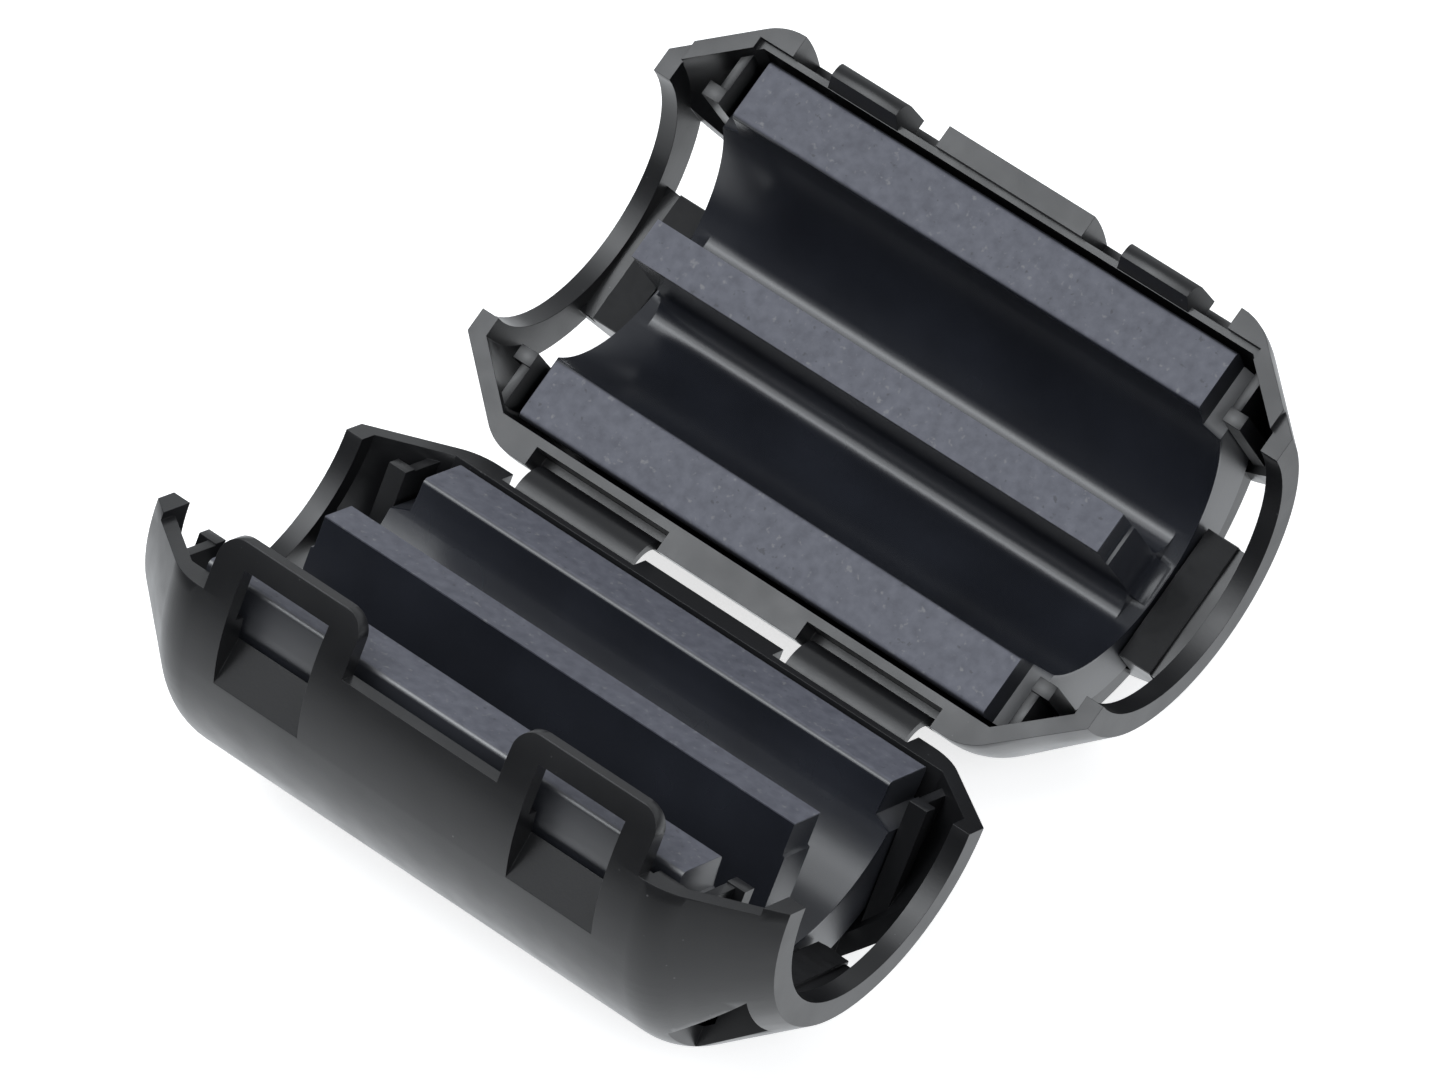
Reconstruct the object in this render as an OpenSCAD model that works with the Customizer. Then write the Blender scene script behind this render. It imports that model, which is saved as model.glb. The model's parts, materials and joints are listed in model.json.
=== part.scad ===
// Clip-on ferrite bead for cables, lying open. A moulded case in two halves, joined by two thin
// straps, holds a half core of ferrite in each half. Millimetres. The case lies along X, its halves
// lean against the ground on both sides of the hinge, and the ground is the plane Z = 0.

/* [Ferrite core] */
// Length of the core
core_len = 30.5; // [24:0.5:38]
// Outside diameter of the two half cores together
core_d = 21.2; // [19:0.1:25]
// Diameter of the cable bore
bore_d = 14.5; // [11:0.1:15.5]
// Thickness of the partition that divides the bore in two channels
partition_t = 2.2; // [1.4:0.1:3.4]
// Distance of the partition's ends from the core's ends
partition_setback = 0.85; // [0.4:0.05:1.2]
// Radius in the corners at the foot of the partition
partition_fillet = 1.2; // [0.5:0.1:1.8]
// Rounding of the core's long edges
core_edge = 0.3; // [0.1:0.05:0.45]
// Bevel at the core's ends
core_bevel = 0.4; // [0.1:0.05:0.7]
// Length of the steps in which the mating faces end
end_step = 1; // [0.5:0.1:1.6]
// Depth of those steps where they start, below the parting plane
end_step_h = 1.8; // [1:0.1:2.6]
// Fall of those steps to the core's end
end_step_fall = 0.4; // [0.1:0.1:0.8]

/* [Case] */
// Thickness of the case's round wall
wall = 1.55; // [1.45:0.05:2]
// Room between the core and the case
core_gap = 0.3; // [0.1:0.05:0.4]
// Distance from the core's end to the end of the case
end_chamber = 3.8; // [3.2:0.1:6]
// Slope of the tapered ends
taper_angle = 41; // [36:1:48]
// Radius between the round wall and the tapered ends
shoulder_r = 2.9; // [1:0.1:3.2]
// Thickness of the tapered wall
taper_wall = 0.85; // [0.6:0.05:1.1]
// Thickness of the end walls
end_wall = 1; // [0.7:0.05:1.4]
// Width of the end walls beside the cable mouth
horn_w = 1.3; // [1:0.05:1.8]
// How far the cable mouth stands inside the bore
mouth_lip = 0.1; // [0:0.05:0.3]

/* [Latch] */
// Distance of each latch from the middle of the case
latch_x = 8.85; // [8:0.05:9.4]
// Width of a latch tab
tab_w = 8.4; // [7:0.1:8.6]
// Height of a latch tab above the parting plane
tab_h = 2.75; // [2.2:0.05:3.4]
// Thickness of a latch tab at the parting plane
tab_t = 1; // [0.8:0.05:1.05]
// Radius of a latch tab's corners
tab_corner = 1.2; // [0.3:0.1:1.5]
// Height of the bar above a window
tab_bar = 1.25; // [1:0.05:1.6]
// Width of a window
window_w = 5.1; // [4:0.1:5.4]
// Depth of a window's sill on the inside, below the parting plane
sill_in = 2.7; // [1.8:0.1:3]
// Depth of a window's sill on the outside, below the parting plane
sill_out = 5; // [4:0.1:6]
// Depth of the relief inside the latch wall, below the parting plane
relief_h = 1.5; // [1:0.1:2]
// Height of a hook's top above the parting plane
hook_h = 0.85; // [0.5:0.05:1.1]
// How far a hook's foot stays outside the cavity
hook_foot = 0.05; // [0.03:0.01:0.1]
// Share of a hook's width across the wall over which its inner side leans back
hook_back_share = 0.7; // [0.3:0.05:0.9]
// How far a hook's nose stays inside the round wall
hook_setback = 0.15; // [0.05:0.05:0.3]
// Radius of a hook's upper outer edge
hook_round = 0.7; // [0.3:0.05:0.75]
// How much narrower a hook is at its top, at each side
hook_draft = 0.4; // [0.1:0.05:0.5]
// Height of the raised rim on the hook half
rim_step = 0.4; // [0.3:0.05:0.6]

/* [Hinge] */
// Angle between the halves as they lie open
open_angle = 125; // [110:1:150]
// Distance of each strap from the middle of the case
strap_x = 8.35; // [7.4:0.05:8.8]
// Width of a strap
strap_w = 7.2; // [5:0.1:7.6]
// Thickness of a strap
strap_t = 0.4; // [0.3:0.05:0.5]
// Distance of the fold outside the round wall
fold_out = 0.45; // [0.4:0.05:0.7]
// Depth of a strap's middle layer inside the round wall
strap_inset = 0.35; // [0.25:0.05:0.4]
// Straight length at a strap's root
strap_root = 0.35; // [0.2:0.05:0.6]
// Thickness of the rim left inside a strap
strap_rim = 0.5; // [0.4:0.05:0.6]

/* [Ends] */
// Width of the middle strip of a tapered end
strip_w = 7.5; // [5:0.1:9]
// Thickness of the stop that stands behind the core's end
stop_t = 1.85; // [1:0.05:2.2]
// Depth of the stop's top below the floor of the bore
stop_drop = 0.1; // [0.05:0.05:0.6]
// Distance of the corner posts outside the cable mouth
post_inset = 0.35; // [0.2:0.05:0.5]
// Length of a corner post along the case
post_len = 1.05; // [0.8:0.05:1.4]
// Thickness of a corner post
post_t = 0.8; // [0.6:0.05:1]
// Depth of a corner post's top below the parting plane
post_drop = 0.45; // [0.3:0.05:0.8]
// Thickness of the web between a corner post and the wall
web_t = 0.5; // [0.4:0.05:0.7]
// Depth of the web's top below the stepped rim
web_drop = 0.1; // [0.05:0.05:0.4]
// How far the end slots reach back past the core's end
slot_lap = 0.35; // [0.1:0.05:0.5]

/* [Fits] */
// Depth of every rim and core face below the parting plane
face_gap = 0.03; // [0.02:0.01:0.08]
// Room between the stepped rims of the closed case
step_gap = 0.06; // [0.04:0.01:0.12]
// Room between a latch tab and its recess
tab_gap = 0.2; // [0.1:0.01:0.25]
// Room beside a hook in its window
hook_gap = 0.15; // [0.1:0.05:0.3]
// Room between a hook's catch and the bar of the window
catch_gap = 0.05; // [0.03:0.01:0.15]
// Room at each side of a strap
strap_gap = 0.5; // [0.3:0.05:0.7]
// Room around the rounded fold of a strap
fold_gap = 0.22; // [0.2:0.02:0.3]
// Room between the core's ends and the stops and posts
stop_gap = 0.15; // [0.1:0.05:0.3]

/* [Hidden] */
$fn = 96;

// Length by which a cut runs past the surface that it opens
overrun = 0.1;

// Core
core_r = core_d / 2;
bore_r = bore_d / 2;
core_end = core_len / 2;
partition_half = partition_t / 2;
partition_end = core_end - partition_setback;
middle_r = (bore_r + core_r) / 2;

// Case: places along X are measured from the middle, places across it are radii
cavity_r = core_r + core_gap;
case_r = cavity_r + wall;
case_end = core_end + end_chamber;
chamber_end = case_end - end_wall;
mouth_r = bore_r - mouth_lip;
end_r = mouth_r + horn_w;
taper_wall_r = taper_wall / cos(taper_angle);
shoulder_x = case_end - (case_r - end_r) / tan(taper_angle);
cavity_x = case_end - (cavity_r + taper_wall_r - end_r) / tan(taper_angle);
chamber_end_r = end_r + end_wall * tan(taper_angle) - taper_wall_r;
stop_x = core_end + stop_gap;
slot_x = core_end - slot_lap;
post_y = mouth_r + post_inset;
reach = case_end + case_r;

// Latch: depths below the parting plane, and places across the case
tab_in = case_r - tab_t;
ledge_y = tab_in - tab_gap;
window_top = tab_h - tab_bar;
catch_depth = window_top - catch_gap;
hook_w = window_w - 2 * hook_gap;
hook_tip = case_r - hook_setback;
relief_x = latch_x + tab_w / 2 + tab_gap;

// Hinge: the strap bends from upright at its root to level at the fold
half_open = open_angle / 2;
lean = 90 - half_open;
fold_y = case_r + fold_out;
strap_y = case_r - strap_inset;
bend_r = (fold_y - strap_y) / (1 - cos(half_open));
bend_h = bend_r * sin(half_open);
fold_z = case_r - fold_y * sin(lean);

case_colour = "#26272b";
core_colour = "#5f6068";

// A box between its lowest and its highest corner
module block(low, high) translate(low) cube(high - low);

// An outline in Y and Z, drawn out along X
module along_x(length) rotate([90, 0, 90]) linear_extrude(length, center = true) children();

// A profile of radius and place along the case, turned about the X axis
module turned_about_x() rotate([0, 90, 0]) rotate_extrude() children();

// An outline of radius and place that runs on from one end of the case to its mirror image at the other
function both_ends(points) = concat(points, [
    for (i = [len(points) - 1 : -1 : 0]) [points[i][0], -points[i][1]]
]);

// The piece that fills a corner up to a round of radius r: the corner lies beyond both tangent points
module corner_round(centre, from, corner, to, r) intersection() {
    translate(centre) circle(r);
    polygon([centre, from, corner, to]);
}

// What is at both ends of the case, right and left of its middle
module right_and_left() for (side = [0, 1]) mirror([side, 0, 0]) children();

// What is on the latch side and, mirrored, on the hinge side
module latch_and_hinge_side() for (side = [0, 1]) mirror([0, side, 0]) children();

// Outer form of the closed case as radius over place: round wall, shoulder and taper
module barrel_profile() {
    tangent = shoulder_r * tan(taper_angle / 2);
    centre = [case_r - shoulder_r, shoulder_x - tangent];
    from = [case_r, shoulder_x - tangent];
    to = [case_r - tangent * sin(taper_angle), shoulder_x + tangent * cos(taper_angle)];
    polygon(both_ends([[0, case_end], [end_r, case_end], to, from]));
    for (end = [0, 1]) mirror([0, end])
        corner_round(centre, from, [case_r, shoulder_x], to, shoulder_r);
}

// Room inside the closed case: cavity for the core, tapered end chamber and cable mouth
module room_profile() {
    mouth_end = case_end + overrun;
    polygon(both_ends([[0, chamber_end], [chamber_end_r, chamber_end], [cavity_r, cavity_x]]));
    polygon(both_ends([[0, mouth_end], [mouth_r, mouth_end]]));
}

module barrel() turned_about_x() barrel_profile();

// The closed case's wall, with the open slots on both sides of each end's middle strip
module shell() difference() {
    barrel();
    turned_about_x() room_profile();
    right_and_left() latch_and_hinge_side()
        block([slot_x, strip_w / 2, -reach], [chamber_end, mouth_r, reach]);
}

// Stop and corner posts that hold the core endwise, at both ends of one half
module end_stops() right_and_left() intersection() {
    barrel();
    union() {
        block([stop_x, -strip_w / 2, -case_r], [stop_x + stop_t, strip_w / 2, -bore_r - stop_drop]);
        latch_and_hinge_side() corner_post();
    }
}

// A post beside the cable mouth, with a thin and lower web from it to the wall
module corner_post() {
    web_top = rim_step + step_gap + web_drop;
    block([stop_x, post_y, -case_r], [stop_x + post_len, post_y + post_t, -post_drop]);
    block([stop_x, post_y + post_t / 2, -case_r], [stop_x + web_t, case_r, -web_top]);
}

// Everything above a depth, over the latch side or the hinge side of a stretch of the case
module above(depth, x_low, x_high, y_low, y_high) block([x_low, y_low, -depth], [x_high, y_high, reach]);

// Outline of a latch tab, seen from outside, with rounded upper corners
module tab_outline() {
    lower = sill_in + rim_step;
    straight = tab_h - tab_corner;
    translate([-tab_w / 2, -lower]) square([tab_w, lower + straight]);
    translate([tab_corner - tab_w / 2, 0]) square([tab_w - 2 * tab_corner, tab_h]);
    for (side = [-1, 1]) translate([side * (tab_w / 2 - tab_corner), straight]) circle(tab_corner);
}

// The two latch tabs, flush with the round wall on the outside, before the relief thins them
module latch_tabs() intersection() {
    barrel();
    right_and_left() translate([latch_x, reach, 0]) rotate([90, 0, 0])
        linear_extrude(reach - cavity_r) tab_outline();
}

// Openings through the latch tabs, each with a sill that slopes outwards
module latch_windows() right_and_left() translate([latch_x, 0, 0]) along_x(window_w) {
    sill_in_y = sqrt(cavity_r * cavity_r - sill_in * sill_in);
    sill_out_y = sqrt(case_r * case_r - sill_out * sill_out);
    sill_slope = (sill_out - sill_in) / (sill_out_y - sill_in_y);
    outside = case_r + overrun;
    polygon([
        [bore_r, window_top],
        [outside, window_top],
        [outside, -sill_in - sill_slope * (outside - sill_in_y)],
        [sill_in_y, -sill_in],
        [bore_r, -sill_in]
    ]);
}

// Recesses in the hook half that take the latch tabs, and the low ledge inside them and the raised rim
module tab_recesses() {
    across = tab_w / 2 + tab_gap;
    above(face_gap, -core_end, core_end, 0, ledge_y);
    right_and_left() above(tab_h + tab_gap, latch_x - across, latch_x + across, ledge_y, reach);
}

// Section of a hook in Y and Z, with a leaning inner side, a round upper edge and a flat catch below
module hook_section() {
    foot_y = cavity_r + hook_foot;
    round_y = hook_tip - hook_round;
    round_z = hook_h - hook_round;
    polygon([
        [foot_y, -catch_depth],
        [hook_tip, -catch_depth],
        [hook_tip, round_z],
        [round_y, hook_h],
        [foot_y + (round_y - foot_y) * hook_back_share, hook_h],
        [foot_y, 0]
    ]);
    corner_round([round_y, round_z], [hook_tip, round_z], [hook_tip, hook_h], [round_y, hook_h], hook_round);
}

// A hook's outline from outside, narrower at its top
module hook_outline() polygon([
    [-hook_w / 2, -catch_depth],
    [hook_w / 2, -catch_depth],
    [hook_w / 2 - hook_draft, hook_h],
    [hook_draft - hook_w / 2, hook_h]
]);

// The two hooks that snap into the windows
module latch_hooks() right_and_left() translate([latch_x, 0, 0]) intersection() {
    along_x(hook_w) hook_section();
    translate([0, reach, 0]) rotate([90, 0, 0]) linear_extrude(reach) hook_outline();
}

// Recesses in the hinge side's wall, around the roots of the straps
module strap_recesses() right_and_left()
    block(
        [strap_x - strap_w / 2 - strap_gap, -reach, -bend_h - strap_root],
        [strap_x + strap_w / 2 + strap_gap, -cavity_r - strap_rim, reach]
    );

// Section of a strap from its root to the fold, in the half's own Y and Z
module strap_section() {
    centre = [-strap_y - bend_r, -bend_h];
    far = bend_r + strap_t;
    translate([-strap_y - strap_t / 2, -bend_h - strap_root - overrun])
        square([strap_t, strap_root + overrun]);
    translate(centre) intersection() {
        difference() {
            circle(bend_r + strap_t / 2);
            circle(bend_r - strap_t / 2);
        }
        polygon([
            [0, 0],
            [far, 0],
            [far, far * tan(half_open / 2)],
            [far * cos(half_open), far * sin(half_open)]
        ]);
    }
}

// Straps of the window half, which end in the rounded fold
module straps_to_fold() right_and_left() translate([strap_x, 0, 0]) along_x(strap_w) {
    strap_section();
    translate([-fold_y, 0]) circle(strap_t / 2);
}

// Straps of the hook half, which end just short of the fold
module straps_short_of_fold() right_and_left() translate([strap_x, 0, 0]) along_x(strap_w) difference() {
    strap_section();
    translate([-fold_y, 0]) circle(strap_t / 2 + fold_gap);
}

// Half of the case with the latch tabs. Its mating face is the plane Z = 0, its latch side is +Y
module window_half() {
    difference() {
        union() {
            difference() {
                shell();
                above(face_gap, -reach, reach, -reach, reach);
                above(rim_step + step_gap, -chamber_end, chamber_end, 0, reach);
            }
            latch_tabs();
        }
        above(relief_h, -relief_x, relief_x, 0, tab_in);
        latch_windows();
        strap_recesses();
    }
    end_stops();
    straps_to_fold();
}

// Half of the case with the hooks and the raised rim
module hook_half() {
    rim_end = chamber_end - step_gap;
    difference() {
        shell();
        above(face_gap, -reach, reach, -reach, 0);
        right_and_left() above(face_gap, rim_end, reach, 0, reach);
        above(-rim_step, -reach, reach, 0, reach);
        tab_recesses();
        strap_recesses();
    }
    latch_hooks();
    end_stops();
    straps_short_of_fold();
}

// Round corner between the partition's side and the bore, filled into the web behind it
module partition_foot() {
    across = partition_half + partition_fillet;
    inset = bore_r - partition_fillet;
    centre = [across, -sqrt(inset * inset - across * across)];
    difference() {
        polygon([
            centre,
            [partition_half, centre[1]],
            [0, -middle_r],
            centre * middle_r / inset
        ]);
        translate(centre) circle(partition_fillet);
    }
}

// What comes off a long edge of the core to round it. The edge is where a circle of radius r meets the
// mating face, and out is 1 where the core lies outside that circle and -1 where it lies inside
module edge_cut(r, out) {
    level = -face_gap - core_edge;
    inset = r + out * core_edge;
    centre = [sqrt(inset * inset - level * level), level];
    touch = centre * r / inset;
    beyond = touch[0] - out * overrun;
    difference() {
        polygon([centre, touch, [beyond, touch[1]], [beyond, overrun], [centre[0], overrun]]);
        translate(centre) circle(core_edge);
    }
}

// Section of the half core's ring, with rounded long edges
module ring_section() difference() {
    circle(core_r);
    circle(bore_r);
    translate([-core_d, -face_gap]) square([core_d * 2, core_d]);
    for (side = [0, 1]) mirror([side, 0]) {
        edge_cut(bore_r, 1);
        edge_cut(core_r, -1);
    }
}

// Section of the partition with its round feet
module partition_section() {
    translate([-partition_half, -middle_r]) square([partition_t, middle_r - face_gap]);
    for (side = [0, 1]) mirror([side, 0]) partition_foot();
}

// Round foot of the partition's end, as an outline in X and Z
module end_foot_outline() {
    end = partition_end + partition_fillet;
    top = partition_fillet - bore_r;
    difference() {
        polygon([[0, -middle_r], [0, top], [end, top], [end, -middle_r]]);
        translate([end, top]) circle(partition_fillet);
    }
}

// The partition, shorter than the core, with round feet on its sides and at its ends
module partition() {
    along_x(2 * partition_end) partition_section();
    right_and_left() translate([0, partition_half, 0]) rotate([90, 0, 0])
        linear_extrude(partition_t) end_foot_outline();
}

// The core's outer form with bevelled ends, as radius over place
module core_profile() polygon(both_ends([
    [0, core_end],
    [core_r - core_bevel, core_end],
    [core_r + overrun, core_end - core_bevel - overrun]
]));

// What comes off above the step at the core's end, as an outline in X and Z
module end_step_outline() {
    start = core_end - end_step;
    beyond = core_end + overrun;
    polygon([
        [start, overrun],
        [start, -end_step_h],
        [beyond, -end_step_h - end_step_fall * (end_step + overrun) / end_step],
        [beyond, overrun]
    ]);
}

// One half core: ring and partition, with bevelled ends and steps at the ends of its mating faces
module half_core() difference() {
    intersection() {
        union() {
            along_x(core_len) ring_section();
            partition();
        }
        turned_about_x() core_profile();
    }
    right_and_left() translate([0, core_d, 0]) rotate([90, 0, 0])
        linear_extrude(2 * core_d) end_step_outline();
}

// Places a half in the open V: the hook half behind the hinge, and the window half, mirrored, before it
module behind_hinge() translate([0, 0, fold_z]) rotate([lean, 0, 0]) translate([0, fold_y, 0]) children();
module before_hinge() mirror([0, 1, 0]) behind_hinge() children();

module window_case() color(case_colour) before_hinge() window_half();
module hook_case() color(case_colour) behind_hinge() hook_half();
module window_core() color(core_colour) before_hinge() half_core();
module hook_core() color(core_colour) behind_hinge() half_core();

window_case();
hook_case();
window_core();
hook_core();
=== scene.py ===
# %% [markdown]
# # An open clip-on ferrite bead
# The bead is a black moulded case in two hinged halves, each with a half core of ferrite in it. The
# solids come from the CAD model. This script adds what they leave out: rounded edges, hinge straps that
# bend, uneven tops on the stops with a floor beside them, and the finishes. Then it sets up a plain
# studio. Everything is in metres, in the CAD model's own frame.

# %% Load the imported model
import json
from math import pi, radians

import bmesh
import bpy
from mathutils import Matrix, Vector


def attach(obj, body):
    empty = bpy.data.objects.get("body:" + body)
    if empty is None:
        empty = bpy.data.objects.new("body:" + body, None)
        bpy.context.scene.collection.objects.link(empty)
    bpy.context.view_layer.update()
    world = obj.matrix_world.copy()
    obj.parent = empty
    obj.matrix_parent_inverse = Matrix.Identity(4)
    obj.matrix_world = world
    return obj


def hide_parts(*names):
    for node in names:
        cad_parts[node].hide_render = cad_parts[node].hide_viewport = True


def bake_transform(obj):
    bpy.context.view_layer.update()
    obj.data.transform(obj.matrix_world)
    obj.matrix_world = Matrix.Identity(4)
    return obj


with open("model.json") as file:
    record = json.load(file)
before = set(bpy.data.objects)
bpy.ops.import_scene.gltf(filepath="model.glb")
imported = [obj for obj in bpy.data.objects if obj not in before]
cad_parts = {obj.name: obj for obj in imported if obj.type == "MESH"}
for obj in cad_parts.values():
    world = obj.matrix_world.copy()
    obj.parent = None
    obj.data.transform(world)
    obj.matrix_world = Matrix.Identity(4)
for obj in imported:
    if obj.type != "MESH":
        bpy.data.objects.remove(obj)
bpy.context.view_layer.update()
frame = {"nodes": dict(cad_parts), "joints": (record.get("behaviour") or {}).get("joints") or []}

MM = 0.001
scene = bpy.context.scene
scene.view_settings.view_transform = "Standard"
print("nodes:", sorted(frame["nodes"]))

# %% [markdown]
# ## The fold and the two halves
# The halves fold about one line, the hinge of the model. As photographed, both lean by the same angle, so
# their mating faces rise from the fold like an open book. Each half has a frame of its own, with the
# core's axis as X and the mating plane as Z = 0. One matrix per half leads from that frame to where the
# half lies, and its inverse tells how deep a point is.

# %% Where the fold is, and how far the halves lean
hinge = frame["joints"][0]
fold = Vector(hinge["pos_m"])
lean = radians(90 - hinge["range_deg"][1] / 2)
SIDES = {"window": -1, "hook": 1}
FOLD_TO_AXIS = 12.9 * MM
print("fold at", tuple(round(v / MM, 3) for v in fold), "mm")


def placed(side):
    """Leads from a half's own frame to where that half lies, on that side of the fold."""
    lying = Matrix.Translation(fold) @ Matrix.Rotation(side * lean, 4, "X")
    return lying @ Matrix.Translation((0, side * FOLD_TO_AXIS, 0))


# %% [markdown]
# ## The camera
# The photograph looks down on the bead from the front right, with a long lens. Place, direction and lens
# were found by fitting the edges of the core and the case. The view's right and up are given directly,
# because the view is also rolled a little, which a track-to constraint would not give.

# %% Camera
CAMERA_PLACE = Vector((216.50, -293.96, 442.50)) * MM
VIEW_RIGHT = Vector((0.77602, 0.62949, 0.03910))
VIEW_UP = Vector((-0.50086, 0.57740, 0.64479))
LENS_MM = 297.9
SENSOR_MM = 36

camera_data = bpy.data.cameras.new("camera")
camera_data.lens = LENS_MM
camera_data.sensor_width = SENSOR_MM
camera = bpy.data.objects.new("camera", camera_data)
scene.collection.objects.link(camera)
view_back = VIEW_RIGHT.cross(VIEW_UP).normalized()
view_up = view_back.cross(VIEW_RIGHT).normalized()
camera.matrix_world = Matrix.Translation(CAMERA_PLACE) @ Matrix(
    (VIEW_RIGHT.normalized(), view_up, view_back)
).transposed().to_4x4()
scene.camera = camera
print("camera looks along", tuple(round(-v, 3) for v in view_back))

# %% [markdown]
# ## Floor, light and surroundings
# The bead lies on a white sheet. The floor is a real surface that takes the shadow and throws light back
# up, and the camera sees a little light of its own on top, so the background comes out white without more
# light on the bead. In the black case the sheet is seen again as a mirror image, but that image is a
# painted reflection: rays that glance off the bead find no lit sheet but a painted glow on it, a pool of
# light which fades with distance, so the wall is pale near the ground and dark near its rim. A large soft
# lamp with a brighter middle stands over the front left, where the hook half's rims mirror it, and a
# weaker one to the right. The surroundings are dark before the bead and pale behind it, like a sheet that
# rises at the back.

# %% Small helpers for node trees
def new_material(name):
    """An empty material and its node tree."""
    material = bpy.data.materials.new(name)
    material.use_nodes = True
    material.node_tree.nodes.clear()
    return material, material.node_tree


def add(tree, kind, values=(), **settings):
    """Adds a node, sets its properties, and sets or links its inputs from (name, value or socket) pairs."""
    node = tree.nodes.new(kind)
    for name, value in settings.items():
        setattr(node, name, value)
    for name, value in values:
        if isinstance(value, bpy.types.NodeSocket):
            tree.links.new(value, node.inputs[name])
        else:
            node.inputs[name].default_value = value
    return node


def math_node(tree, operation, a, b):
    """One arithmetic step, as its output socket."""
    return add(tree, "ShaderNodeMath", [(0, a), (1, b)], operation=operation).outputs[0]


def between(tree, value, low, high, to_low=0.0, to_high=1.0):
    """Maps a value from one range to another, held inside the new one."""
    return add(
        tree, "ShaderNodeMapRange",
        [("Value", value), ("From Min", low), ("From Max", high), ("To Min", to_low), ("To Max", to_high)],
    ).outputs[0]


# %% Floor
FLOOR_REACH = 3.0
FLOOR_WHITE = (0.82, 0.82, 0.82, 1)
FLOOR_GLOW = 0.70
COOL = (0.94, 0.97, 1.0, 1)
PAINTED_REFLECTION_NEAR, PAINTED_REFLECTION_FAR = 1.30, 0.08
POOL_FROM, POOL_TO = 0.028, 0.13
CORNERS = ((-1, -1), (1, -1), (1, 1), (-1, 1))

floor_mesh = bpy.data.meshes.new("floor")
floor_mesh.from_pydata([(x * FLOOR_REACH, y * FLOOR_REACH, 0) for x, y in CORNERS], [], [(0, 1, 2, 3)])
floor = bpy.data.objects.new("floor", floor_mesh)
scene.collection.objects.link(floor)
white_sheet, tree = new_material("white sheet")
paper = add(tree, "ShaderNodeBsdfDiffuse", [("Color", FLOOR_WHITE)])
rays = add(tree, "ShaderNodeLightPath").outputs
seen_glow = math_node(tree, "MULTIPLY", rays["Is Camera Ray"], FLOOR_GLOW)
glow = add(tree, "ShaderNodeEmission", [("Strength", seen_glow)])
lit = add(tree, "ShaderNodeAddShader", [(0, paper.outputs[0]), (1, glow.outputs[0])])
place = add(tree, "ShaderNodeTexCoord").outputs["Object"]
distance = add(tree, "ShaderNodeVectorMath", [(0, place)], operation="LENGTH").outputs["Value"]
# Painted reflection: rays that glance off the bead see the floor glow as a pool of light, strongest near the
# bead and fading with distance.
pool = between(tree, distance, POOL_FROM, POOL_TO, PAINTED_REFLECTION_NEAR, PAINTED_REFLECTION_FAR)
painted_reflection = add(tree, "ShaderNodeEmission", [("Color", COOL), ("Strength", pool)])
sheet = add(
    tree, "ShaderNodeMixShader", [(0, rays["Is Glossy Ray"]), (1, lit.outputs[0]), (2, painted_reflection.outputs[0])]
)
add(tree, "ShaderNodeOutputMaterial", [("Surface", sheet.outputs[0])])
floor_mesh.materials.append(white_sheet)
print("floor", 2 * FLOOR_REACH, "m wide")

# %% Surroundings
SKY_TOP = 0.55
SKY_BEFORE, SKY_BEHIND = 0.03, 0.9
BEHIND_FROM, BEHIND_TO = 0.2, 0.8
TOP_FROM, TOP_TO = 0.1, 0.9

world = bpy.data.worlds.new("studio")
scene.world = world
world.use_nodes = True
tree = world.node_tree
tree.nodes.clear()
direction = add(tree, "ShaderNodeTexCoord").outputs["Generated"]
axes = add(tree, "ShaderNodeSeparateXYZ", [(0, direction)]).outputs
horizon = between(tree, axes["Y"], BEHIND_FROM, BEHIND_TO, SKY_BEFORE, SKY_BEHIND)
grey = between(tree, axes["Z"], TOP_FROM, TOP_TO, horizon, SKY_TOP)
camera_ray = add(tree, "ShaderNodeLightPath").outputs["Is Camera Ray"]
strength = add(tree, "ShaderNodeMix", [("Factor", camera_ray), ("A", grey), ("B", 1.0)]).outputs[0]
background = add(tree, "ShaderNodeBackground", [("Color", COOL), ("Strength", strength)])
add(tree, "ShaderNodeOutputWorld", [("Surface", background.outputs[0])])
print("surroundings", SKY_BEFORE, "before,", SKY_BEHIND, "behind and", SKY_TOP, "above the bead")

# %% Lamps
OVERHEAD = (-0.38, -0.33, 0.86)
LAMPS = {
    "overhead softbox": {"towards": OVERHEAD, "distance": 0.5, "size": 0.42, "watts": 1.45},
    "bulb in the softbox": {"towards": OVERHEAD, "distance": 0.49, "size": 0.12, "watts": 0.16},
    "right softbox": {"towards": (0.70, -0.30, 0.65), "distance": 0.5, "size": 0.30, "watts": 0.7},
}
AIM = Vector((0, 0, 0.01))

for name, lamp in LAMPS.items():
    light = bpy.data.lights.new(name, "AREA")
    light.energy = lamp["watts"]
    light.size = lamp["size"]
    light.color = COOL[:3]
    stand = bpy.data.objects.new(name, light)
    scene.collection.objects.link(stand)
    towards = Vector(lamp["towards"]).normalized()
    stand.matrix_world = Matrix.Translation(AIM + towards * lamp["distance"]) @ (
        towards.to_track_quat("Z", "Y").to_matrix().to_4x4()
    )
    print(name, lamp["watts"], "W")

# %% [markdown]
# ## Black moulded plastic
# The case is moulded in black plastic, most likely nylon. Its surface copies a spark-eroded mould: a very
# fine grain that turns the gloss into a satin sheen. A smooth black would look like glass, so the grain is
# a bump made of fine noise, and a slower noise changes the gloss and the black a little, as handling does.
# A few pale specks of dust lie on it.

# %% Helpers for finishes
# Most values of a noise lie between these two
NOISE_LOW, NOISE_HIGH = 0.3, 0.7


def noise(tree, place, scale, detail=2.0):
    """Noise on object coordinates, from 0 to 1."""
    return add(
        tree, "ShaderNodeTexNoise", [("Vector", place), ("Scale", scale), ("Detail", detail)]
    ).outputs["Fac"]


def mix_colour(tree, factor, a, b):
    """A colour between two others."""
    return add(
        tree, "ShaderNodeMix", [("Factor", factor), ("A", a), ("B", b)], data_type="RGBA"
    ).outputs["Result"]


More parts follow.
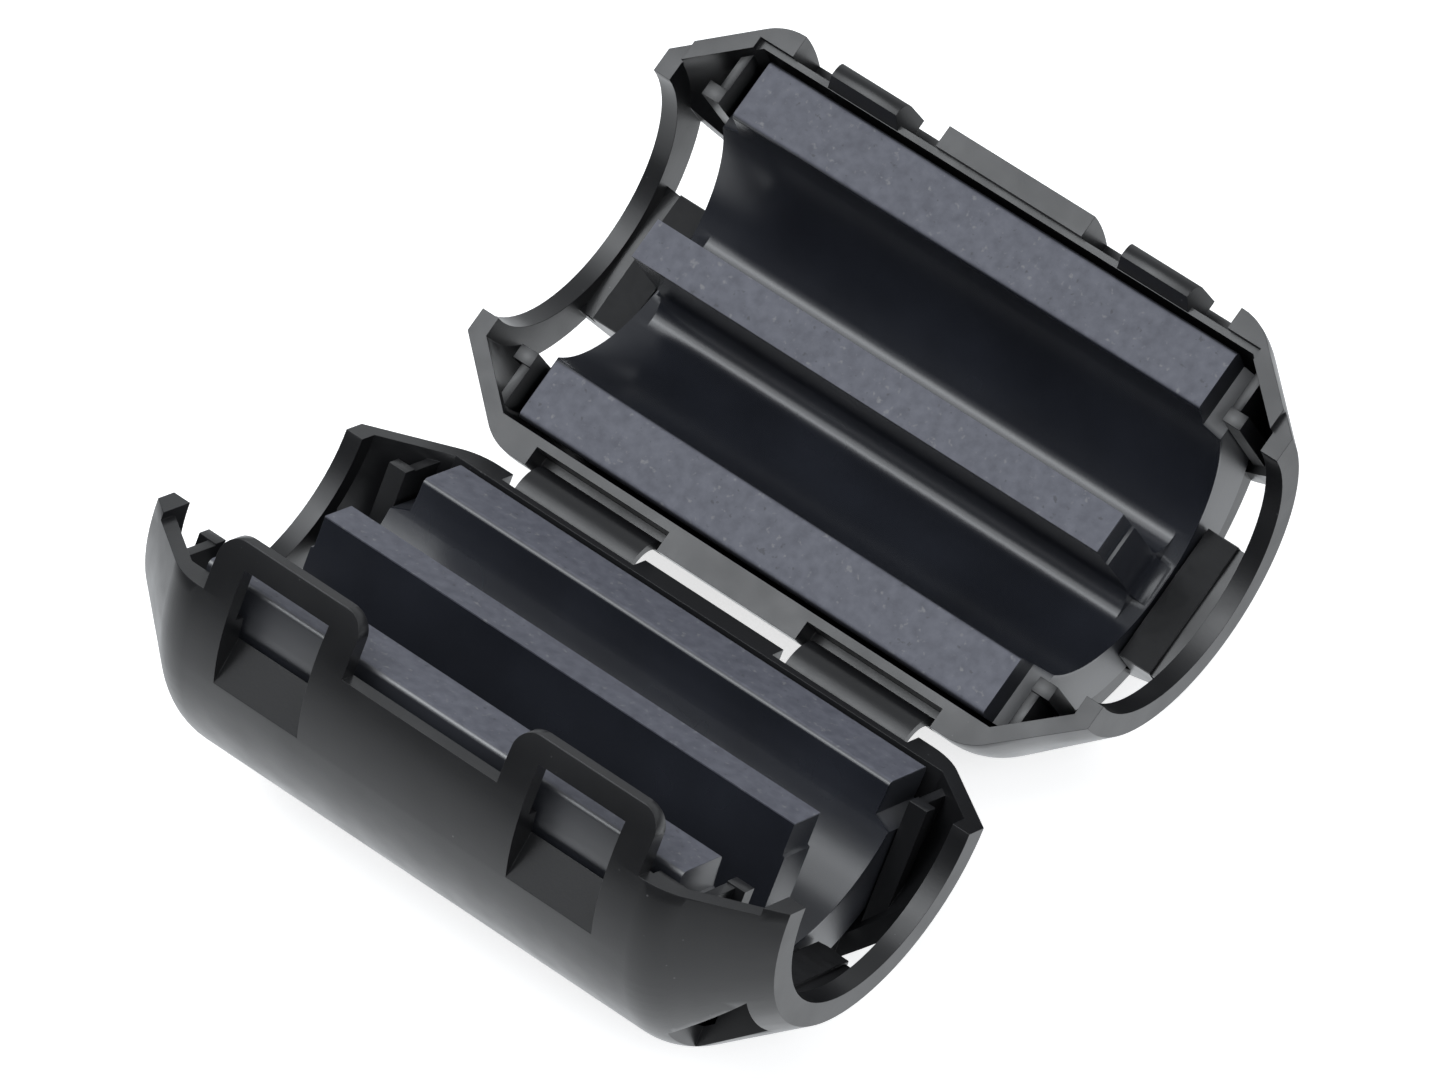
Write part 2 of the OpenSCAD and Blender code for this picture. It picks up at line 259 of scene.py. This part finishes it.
# %% Case plastic
GRAIN_PER_M = 7000
GRAIN_HEIGHT = 0.0025 * MM
CLOUD_PER_M = 160
PLASTIC_DARK = (0.0075, 0.0076, 0.0084, 1)
PLASTIC_PALE = (0.0125, 0.0127, 0.0138, 1)
SATIN_FROM, SATIN_TO = 0.28, 0.36
PLASTIC_SHINE = 0.5
DUST = (0.07, 0.07, 0.072, 1)
DUST_PER_M = 1800
DUST_SHARE = 0.07
DUST_FADE = 1.6
DUSTY_FROM, DUSTY_TO = 0.60, 0.66

case_plastic, tree = new_material("black moulded plastic")
place = add(tree, "ShaderNodeTexCoord").outputs["Object"]
colour = mix_colour(tree, noise(tree, place, CLOUD_PER_M, 4.0), PLASTIC_DARK, PLASTIC_PALE)
cells = add(tree, "ShaderNodeTexVoronoi", [("Vector", place), ("Scale", DUST_PER_M)])
speck = between(tree, cells.outputs["Distance"], DUST_SHARE, DUST_SHARE * DUST_FADE, 1.0, 0.0)
dusty = between(tree, noise(tree, place, CLOUD_PER_M * 2), DUSTY_FROM, DUSTY_TO)
colour = mix_colour(tree, math_node(tree, "MULTIPLY", speck, dusty), colour, DUST)
handled = noise(tree, place, CLOUD_PER_M * 3, 3.0)
satin = between(tree, handled, NOISE_LOW, NOISE_HIGH, SATIN_FROM, SATIN_TO)
grain = noise(tree, place, GRAIN_PER_M)
bump = add(tree, "ShaderNodeBump", [("Height", grain), ("Distance", GRAIN_HEIGHT), ("Strength", 1.0)])
skin = add(
    tree, "ShaderNodeBsdfPrincipled",
    [
        ("Base Color", colour), ("Roughness", satin), ("Normal", bump.outputs[0]),
        ("Specular IOR Level", PLASTIC_SHINE),
    ],
)
add(tree, "ShaderNodeOutputMaterial", [("Surface", skin.outputs[0])])
print("made", case_plastic.name, "with a grain of about", round(1 / (GRAIN_PER_M * MM), 2), "mm")

# %% [markdown]
# ## Sintered ferrite
# Ferrite is a fired ceramic. As it leaves the kiln it is blue-black with a soft satin skin. The bore looks
# smoother than the rest, as a polished pressing tool would leave it. Only the mating faces are ground flat,
# which turns them into a mottled mid grey with pale and dark specks where grains broke out. All this is
# one material: two distances stored on the mesh tell it how deep a point lies below the mating plane and
# how far it is from the core's axis.

# %% Ferrite colours
DEPTH, FROM_AXIS = "depth_mm", "from_axis_mm"
GROUND_FROM, GROUND_TO = -0.12, -0.05
BORE_FROM, BORE_TO = 7.5, 7.3
GROUND_DARK = (0.082, 0.085, 0.106, 1)
GROUND_PALE = (0.120, 0.124, 0.150, 1)
FIRED_DARK = (0.011, 0.0122, 0.0165, 1)
FIRED_PALE = (0.019, 0.021, 0.028, 1)
PALE_SPECK = (0.19, 0.19, 0.20, 1)
DARK_PIT = (0.045, 0.046, 0.052, 1)
PALE_FROM, PALE_TO, PALE_COVER = 0.63, 0.74, 0.8
PIT_FROM, PIT_TO, PIT_COVER = 0.27, 0.34, 0.6
SPECK_PER_M = 2600
MOTTLE_PER_M = 1700

ferrite, tree = new_material("sintered ferrite")
place = add(tree, "ShaderNodeTexCoord").outputs["Object"]
depth = add(tree, "ShaderNodeAttribute", attribute_name=DEPTH).outputs["Fac"]
from_axis = add(tree, "ShaderNodeAttribute", attribute_name=FROM_AXIS).outputs["Fac"]
ground = between(tree, depth, GROUND_FROM, GROUND_TO)
in_bore = between(tree, from_axis, BORE_FROM, BORE_TO)
mottle = between(tree, noise(tree, place, MOTTLE_PER_M, 5.0), NOISE_LOW, NOISE_HIGH)
cloud = between(tree, noise(tree, place, CLOUD_PER_M, 3.0), NOISE_LOW, NOISE_HIGH)
grains = noise(tree, place, SPECK_PER_M, 3.0)
pale_specks = between(tree, grains, PALE_FROM, PALE_TO, 0.0, PALE_COVER)
dark_pits = between(tree, grains, PIT_FROM, PIT_TO, PIT_COVER, 0.0)
ground_colour = mix_colour(tree, mottle, GROUND_DARK, GROUND_PALE)
ground_colour = mix_colour(tree, pale_specks, ground_colour, PALE_SPECK)
ground_colour = mix_colour(tree, dark_pits, ground_colour, DARK_PIT)
fired_colour = mix_colour(tree, cloud, FIRED_DARK, FIRED_PALE)
colour = mix_colour(tree, ground, fired_colour, ground_colour)
print("ferrite ground down to", -GROUND_TO, "mm below the mating plane")

# %% Ferrite gloss
FERRITE_INDEX = 2.0
ROUGHNESS = {"fired": 0.42, "bore": 0.27, "ground": 0.60}
SHINE = {"fired": 0.6, "bore": 0.25, "ground": 0.16}
UNEVEN_PER_M = 900
UNEVEN_HEIGHT = 0.02 * MM
UNEVEN_STRENGTH = 0.3


def by_surface(levels):
    """A level that changes from the fired skin to the bore, and from both to the ground faces."""
    unground = between(tree, in_bore, 0.0, 1.0, levels["fired"], levels["bore"])
    return between(tree, ground, 0.0, 1.0, unground, levels["ground"])


uneven = noise(tree, place, UNEVEN_PER_M, 4.0)
bump = add(
    tree, "ShaderNodeBump",
    [("Height", uneven), ("Distance", UNEVEN_HEIGHT), ("Strength", UNEVEN_STRENGTH)],
)
ceramic = add(
    tree, "ShaderNodeBsdfPrincipled",
    [
        ("Base Color", colour), ("Roughness", by_surface(ROUGHNESS)), ("Normal", bump.outputs[0]),
        ("IOR", FERRITE_INDEX), ("Specular IOR Level", by_surface(SHINE)),
    ],
)
add(tree, "ShaderNodeOutputMaterial", [("Surface", ceramic.outputs[0])])
print("made", ferrite.name)

# %% [markdown]
# ## Rounded edges
# No moulded or fired edge is truly sharp, and the bright line that a small radius gives is what makes the
# rims readable. A shader could fake it, but a real bevel also holds at the outline. The CAD triangles are
# merged in a copy, flat neighbours are joined to whole faces, and a narrow bevel goes on every edge sharper
# than thirty degrees.

# %% Merge, bevel and finish a copy of a node
SHARP = radians(30)
FLAT = radians(0.4)
WELD = 0.002 * MM
BEVEL_STEPS = 2
FLAT_FACE_WEIGHT = 80


def merged_copy(node):
    """A copy of a CAD node's mesh with its loose triangles welded and its flat parts joined."""
    mesh = frame["nodes"][node].data.copy()
    mesh.materials.clear()
    work = bmesh.new()
    work.from_mesh(mesh)
    bmesh.ops.remove_doubles(work, verts=work.verts, dist=WELD)
    bmesh.ops.dissolve_limit(work, angle_limit=FLAT, verts=work.verts, edges=work.edges)
    work.to_mesh(mesh)
    work.free()
    return mesh


def apply_modifiers(piece):
    """Gives a piece its evaluated mesh and removes its modifiers."""
    bpy.context.view_layer.update()
    finished = bpy.data.meshes.new_from_object(piece.evaluated_get(bpy.context.evaluated_depsgraph_get()))
    piece.modifiers.clear()
    piece.data = finished


def rounded(node, name, edge_radius, material):
    """A piece that stands for a CAD node, with its edges rounded and its material on."""
    mesh = merged_copy(node)
    mesh.materials.append(material)
    mesh.shade_smooth()
    piece = bpy.data.objects.new(name, mesh)
    scene.collection.objects.link(piece)
    bevel = piece.modifiers.new("rounded edges", "BEVEL")
    bevel.width = edge_radius
    bevel.segments = BEVEL_STEPS
    bevel.limit_method = "ANGLE"
    bevel.angle_limit = SHARP
    bevel.use_clamp_overlap = True
    weighted = piece.modifiers.new("flat faces", "WEIGHTED_NORMAL")
    weighted.weight = FLAT_FACE_WEIGHT
    apply_modifiers(piece)
    print(name, len(piece.data.polygons), "faces")
    return piece


# %% The two case halves and the two half cores
EDGE_RADIUS = {"case": 0.09 * MM, "core": 0.10 * MM}
MATERIAL = {"case": case_plastic, "core": ferrite}
PIECE = {"case": "moulding", "core": "half_core"}


def store(mesh, name, values):
    """Stores one number for each vertex, for the shader to read."""
    mesh.attributes.new(name, "FLOAT", "POINT").data.foreach_set("value", values)


for half, side in SIDES.items():
    for part in ("case", "core"):
        node = f"{half}_{part}"
        piece = rounded(node, f"{half}_{PIECE[part]}", EDGE_RADIUS[part], MATERIAL[part])
        if part == "core":
            to_half = placed(side).inverted()
            points = [to_half @ vertex.co for vertex in piece.data.vertices]
            store(piece.data, DEPTH, [point.z / MM for point in points])
            store(piece.data, FROM_AXIS, [point.yz.length / MM for point in points])
        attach(piece, f"{half}_half")
        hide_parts(node)

# %% [markdown]
# ## Hinge straps
# Two thin straps join the halves, moulded in one with them. Each rises from the window half's wall, bends
# over and runs down into the hook half's wall. A strap is an arc drawn out to a flat band, and there are
# two of them, so a Geometry Nodes tree sweeps a flat section along an arc and puts copies on two points.

# %% Helpers for Geometry Nodes
def sized_tree(name, sizes):
    """A Geometry Nodes tree that takes the named sizes, and their sockets in it."""
    tree = bpy.data.node_groups.new(name, "GeometryNodeTree")
    for size in sizes:
        tree.interface.new_socket(size, in_out="INPUT", socket_type="NodeSocketFloat")
    tree.interface.new_socket("Geometry", in_out="OUTPUT", socket_type="NodeSocketGeometry")
    return tree, add(tree, "NodeGroupInput").outputs


def vector(tree, x=0.0, y=0.0, z=0.0):
    """Three numbers or sockets as one vector socket."""
    return add(tree, "ShaderNodeCombineXYZ", [("X", x), ("Y", y), ("Z", z)]).outputs[0]


def moved(tree, geometry, place=(0, 0, 0), turn=(0, 0, 0)):
    """Geometry turned and moved to a place."""
    return add(
        tree, "GeometryNodeTransform", [("Geometry", geometry), ("Translation", place), ("Rotation", turn)]
    ).outputs[0]


def piece_from(tree, name, sizes):
    """A piece with the mesh that a tree makes from those sizes."""
    piece = bpy.data.objects.new(name, bpy.data.meshes.new(name))
    scene.collection.objects.link(piece)
    maker = piece.modifiers.new(tree.name, "NODES")
    maker.node_group = tree
    for socket in tree.interface.items_tree:
        if socket.in_out == "INPUT":
            maker[socket.identifier] = sizes[socket.name]
    apply_modifiers(piece)
    piece.data.shade_smooth()
    piece.data.set_sharp_from_angle(angle=SHARP)
    print(name, len(piece.data.polygons), "faces")
    return piece


# %% A tree that bends bands over the fold
ARC_POINTS = 33


def strap_tree(sizes, material):
    """Geometry Nodes: a band bent about the fold, copied to both places along it."""
    tree, size = sized_tree("hinge straps", sizes)
    sweep = math_node(tree, "MULTIPLY", size["Half angle"], 2.0)
    start = math_node(tree, "SUBTRACT", pi / 2, size["Half angle"])
    arc = add(
        tree, "GeometryNodeCurveArc",
        [
            ("Resolution", ARC_POINTS), ("Radius", size["Bend radius"]),
            ("Start Angle", start), ("Sweep Angle", sweep),
        ],
    )
    section = add(
        tree, "GeometryNodeCurvePrimitiveQuadrilateral",
        [("Width", size["Thickness"]), ("Height", size["Width"])],
    )
    band = add(
        tree, "GeometryNodeCurveToMesh",
        [("Curve", arc.outputs["Curve"]), ("Profile Curve", section.outputs[0]), ("Fill Caps", True)],
    )
    centre = vector(tree, z=math_node(tree, "SUBTRACT", size["Fold height"], size["Bend radius"]))
    half_way = math_node(tree, "DIVIDE", size["Distance apart"], 2.0)
    places = add(
        tree, "GeometryNodeMeshLine",
        [
            ("Count", 2), ("Start Location", vector(tree, math_node(tree, "MULTIPLY", half_way, -1.0))),
            ("Offset", vector(tree, half_way)),
        ],
        mode="END_POINTS",
    )
    copies = add(
        tree, "GeometryNodeInstanceOnPoints",
        [
            ("Points", places.outputs[0]),
            ("Instance", moved(tree, band.outputs[0], centre, (pi / 2, 0, pi / 2))),
        ],
    )
    solid = add(tree, "GeometryNodeRealizeInstances", [("Geometry", copies.outputs[0])])
    coloured = add(tree, "GeometryNodeSetMaterial", [("Geometry", solid.outputs[0]), ("Material", material)])
    add(tree, "NodeGroupOutput", [("Geometry", coloured.outputs[0])])
    return tree


# %% The two straps
STRAP = {
    "Bend radius": 1.487 * MM,
    "Half angle": radians(70),
    "Width": 7.24 * MM,
    "Thickness": 0.45 * MM,
    "Distance apart": 16.7 * MM,
    "Fold height": fold.z,
}

straps = piece_from(strap_tree(STRAP, case_plastic), "hinge_straps", STRAP)
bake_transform(straps)

# %% [markdown]
# ## Stops and end floors
# Behind each end of the core stands a stop. In the photograph its top looks dark and uneven beside the
# pale rims, and the strip between it and the cable mouth looks pale and flat. Both are read from tone in a
# small, soft patch, so their form is a guess: a lumpy top, as the rough end of a mould pin could leave it,
# and a raised floor. A tree lifts a fine plate by noise, adds the floor, and puts a second copy of both at
# the other end, turned half round. The plate, which stands above the floor, gets a duller plastic.

# %% Rough plastic of the stops
PIT_HEIGHT = 0.0075 * MM
DULL = 0.60
DULL_SHINE = 0.26

rough_plastic, tree = new_material("rough plastic of the stops")
place = add(tree, "ShaderNodeTexCoord").outputs["Object"]
colour = mix_colour(tree, noise(tree, place, CLOUD_PER_M * 6, 4.0), PLASTIC_DARK, PLASTIC_PALE)
pits = noise(tree, place, GRAIN_PER_M / 2, 3.0)
bump = add(tree, "ShaderNodeBump", [("Height", pits), ("Distance", PIT_HEIGHT), ("Strength", 1.0)])
skin = add(
    tree, "ShaderNodeBsdfPrincipled",
    [
        ("Base Color", colour), ("Roughness", DULL), ("Normal", bump.outputs[0]),
        ("Specular IOR Level", DULL_SHINE),
    ],
)
add(tree, "ShaderNodeOutputMaterial", [("Surface", skin.outputs[0])])
print("made", rough_plastic.name)

# %% A tree for the lumpy stops and the floors at both ends of a half
PAD_POINTS_ALONG, PAD_POINTS_ACROSS = 22, 88


def end_tree(sizes, pad_material, floor_material):
    """Geometry Nodes: a lumpy pad and a flat floor, at one end and turned to the other."""
    tree, size = sized_tree("stops and floors", sizes)
    plate = add(
        tree, "GeometryNodeMeshCube",
        [
            ("Size", vector(tree, size["Pad length"], size["Width"], size["Pad thickness"])),
            ("Vertices X", PAD_POINTS_ALONG), ("Vertices Y", PAD_POINTS_ACROSS),
        ],
    )
    pad = moved(tree, plate.outputs[0], vector(tree, size["Pad middle"], 0.0, size["Pad level"]))
    lumps = add(tree, "ShaderNodeTexNoise", [("Scale", size["Lumps per metre"]), ("Detail", 1.0)])
    lift = math_node(tree, "SUBTRACT", lumps.outputs["Fac"], 0.5)
    lift = math_node(tree, "MULTIPLY", lift, size["Lump height"])
    lumpy = add(tree, "GeometryNodeSetPosition", [("Geometry", pad), ("Offset", vector(tree, z=lift))])
    block = add(
        tree, "GeometryNodeMeshCube",
        [("Size", vector(tree, size["Floor length"], size["Width"], size["Floor depth"]))],
    )
    end_floor = moved(tree, block.outputs[0], vector(tree, size["Floor middle"], 0.0, size["Floor level"]))
    end = add(tree, "GeometryNodeJoinGeometry")
    for geometry in (lumpy.outputs[0], end_floor):
        tree.links.new(geometry, end.inputs[0])
    both_ends = add(tree, "GeometryNodeMeshLine", [("Count", 2), ("Offset", (0, 0, 0))])
    half_turns = math_node(tree, "MULTIPLY", add(tree, "GeometryNodeInputIndex").outputs[0], pi)
    copies = add(
        tree, "GeometryNodeInstanceOnPoints",
        [
            ("Points", both_ends.outputs[0]), ("Instance", end.outputs[0]),
            ("Rotation", vector(tree, z=half_turns)),
        ],
    )
    solid = add(tree, "GeometryNodeRealizeInstances", [("Geometry", copies.outputs[0])])
    position = add(tree, "GeometryNodeInputPosition").outputs[0]
    height = add(tree, "ShaderNodeSeparateXYZ", [(0, position)]).outputs["Z"]
    half_pad = math_node(tree, "DIVIDE", size["Pad thickness"], 2.0)
    pad_foot = math_node(tree, "SUBTRACT", size["Pad level"], half_pad)
    above = add(tree, "FunctionNodeCompare", [("A", height), ("B", pad_foot)], operation="GREATER_THAN")
    floored = add(
        tree, "GeometryNodeSetMaterial", [("Geometry", solid.outputs[0]), ("Material", floor_material)]
    )
    padded = add(
        tree, "GeometryNodeSetMaterial",
        [("Geometry", floored.outputs[0]), ("Selection", above.outputs[0]), ("Material", pad_material)],
    )
    add(tree, "NodeGroupOutput", [("Geometry", padded.outputs[0])])
    return tree


# %% Stops and floors of both halves
ENDS = {
    "Pad length": 1.8 * MM,
    "Pad thickness": 0.2 * MM,
    "Pad middle": 16.33 * MM,
    "Pad level": -7.40 * MM,
    "Lumps per metre": 1000.0,
    "Lump height": 0.15 * MM,
    "Width": 7.4 * MM,
    "Floor length": 0.9 * MM,
    "Floor depth": 0.9 * MM,
    "Floor middle": 17.65 * MM,
    "Floor level": -8.0 * MM,
}
ends = end_tree(ENDS, rough_plastic, case_plastic)

for half, side in SIDES.items():
    piece = piece_from(ends, f"{half}_stop_tops", ENDS)
    piece.data.transform(placed(side))
    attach(piece, f"{half}_half")
